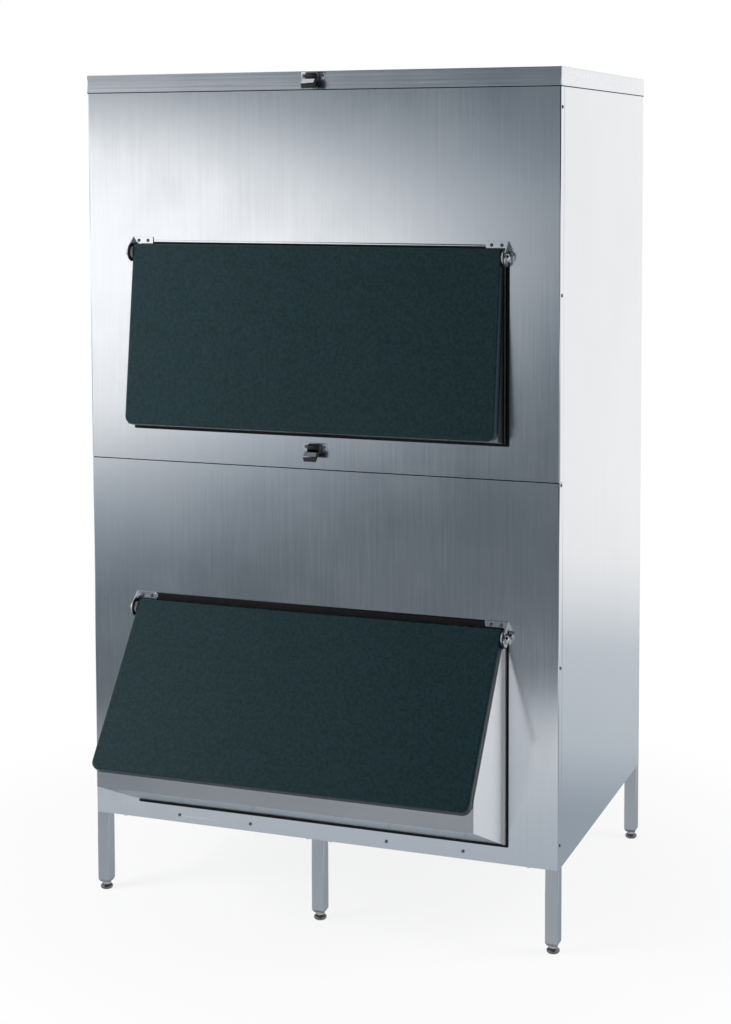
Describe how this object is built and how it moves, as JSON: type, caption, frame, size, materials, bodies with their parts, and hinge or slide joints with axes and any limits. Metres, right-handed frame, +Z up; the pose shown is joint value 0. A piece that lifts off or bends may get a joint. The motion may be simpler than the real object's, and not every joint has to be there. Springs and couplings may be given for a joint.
{
  "type": "ice storage bin",
  "caption": "Upright stainless ice bin on legs with an upper and a lower swing-up door over open hoppers, hold-open catches, insulated walls and an ice chute in its top.",
  "frame": {"origin": "on the floor, below the middle of the bounding box", "axes": "+Z up, +X to the user's right, -Y towards the user: the doors face -Y"},
  "size_m": [1.324, 1.2342, 2.256],
  "materials": {
    "stainless_casing": "satin, brushed up and down",
    "stainless_hopper": "satin, brushed",
    "galvanised_base": "galvanised, dull",
    "foam": "rigid foam, cellular",
    "liner_plastic": "moulded, smooth",
    "drain_plastic": "moulded, smooth",
    "black_rubber": "matt",
    "door_plastic": "pebbled",
    "bracket_steel": "satin",
    "black_nylon": "satin",
    "grey_nylon": "satin",
    "polished_steel": "polished",
    "black_steel": "black",
    "catch_black": "satin",
    "catch_steel": "polished",
    "leg_steel": "satin"
  },
  "bodies": {
    "cabinet": {"upper_front_panel": "stainless_casing", "lower_front_panel": "stainless_casing", "right_side_panel": "stainless_casing", "left_side_panel": "stainless_casing", "back_panel": "stainless_casing", "top_cover": "stainless_casing", "upper_hopper_tray": "stainless_hopper", "upper_hopper_right_cheek": "stainless_hopper", "upper_hopper_left_cheek": "stainless_hopper", "lower_hopper_tray": "stainless_hopper", "lower_hopper_right_cheek": "stainless_hopper", "lower_hopper_left_cheek": "stainless_hopper", "base_pan": "galvanised_base", "upper_front_insulation": "foam", "lower_front_insulation": "foam", "back_insulation": "foam", "left_insulation": "foam", "right_insulation": "foam", "top_insulation": "foam", "floor_insulation": "foam", "liner_tub": "liner_plastic", "liner_top": "liner_plastic", "drain_spigot": "drain_plastic", "upper_opening_edging": "black_rubber", "lower_opening_edging": "black_rubber", "upper_right_hinge_bracket": "bracket_steel", "upper_left_hinge_bracket": "bracket_steel", "lower_right_hinge_bracket": "bracket_steel", "lower_left_hinge_bracket": "bracket_steel", "hinge_bushes": "black_nylon", "leg_plugs": "black_nylon", "hinge_spacers": "grey_nylon", "hinge_washers": "polished_steel", "casing_screws": "polished_steel", "catch_screws": "polished_steel", "leg_bolts": "polished_steel", "catch_pins": "polished_steel", "hinge_screws": "black_steel", "upper_catch_base": "catch_black", "lower_catch_base": "catch_black", "corner_legs": "leg_steel", "middle_legs": "leg_steel"},
    "upper_door": {"upper_door_shell": "door_plastic", "upper_door_core": "foam", "upper_door_lining": "liner_plastic", "upper_hinge_pins": "polished_steel"},
    "lower_door": {"lower_door_shell": "door_plastic", "lower_door_core": "foam", "lower_door_lining": "liner_plastic", "lower_hinge_pins": "polished_steel"},
    "upper_catch": {"upper_catch_hook": "catch_steel"},
    "lower_catch": {"lower_catch_hook": "catch_steel"},
    "foot_front_left": {"foot_front_left": "black_nylon"},
    "foot_front_middle": {"foot_front_middle": "black_nylon"},
    "foot_front_right": {"foot_front_right": "black_nylon"},
    "foot_rear_left": {"foot_rear_left": "black_nylon"},
    "foot_rear_middle": {"foot_rear_middle": "black_nylon"},
    "foot_rear_right": {"foot_rear_right": "black_nylon"}
  },
  "joints": [
    {"name": "upper_door_hinge", "type": "hinge", "parent": "cabinet", "child": "upper_door", "pos_m": [0, -0.33188, 1.781], "axis": [-1, 0, 0], "range_deg": [0, 166]},
    {"name": "lower_door_hinge", "type": "hinge", "parent": "cabinet", "child": "lower_door", "pos_m": [0, -0.33188, 0.813], "axis": [-1, 0, 0], "range_deg": [0, 136.4]},
    {"name": "upper_catch_pivot", "type": "hinge", "parent": "cabinet", "child": "upper_catch", "pos_m": [0, -0.32658, 2.244], "axis": [-1, 0, 0], "range_deg": [0, 100]},
    {"name": "lower_catch_pivot", "type": "hinge", "parent": "cabinet", "child": "lower_catch", "pos_m": [0, -0.32488, 1.276], "axis": [-1, 0, 0], "range_deg": [0, 94]},
    {"name": "foot_front_left_screw", "type": "slide", "parent": "cabinet", "child": "foot_front_left", "axis": [0, 0, -1], "range_m": [0, 0.03]},
    {"name": "foot_front_middle_screw", "type": "slide", "parent": "cabinet", "child": "foot_front_middle", "axis": [0, 0, -1], "range_m": [0, 0.03]},
    {"name": "foot_front_right_screw", "type": "slide", "parent": "cabinet", "child": "foot_front_right", "axis": [0, 0, -1], "range_m": [0, 0.03]},
    {"name": "foot_rear_left_screw", "type": "slide", "parent": "cabinet", "child": "foot_rear_left", "axis": [0, 0, -1], "range_m": [0, 0.03]},
    {"name": "foot_rear_middle_screw", "type": "slide", "parent": "cabinet", "child": "foot_rear_middle", "axis": [0, 0, -1], "range_m": [0, 0.03]},
    {"name": "foot_rear_right_screw", "type": "slide", "parent": "cabinet", "child": "foot_rear_right", "axis": [0, 0, -1], "range_m": [0, 0.03]}
  ]
}
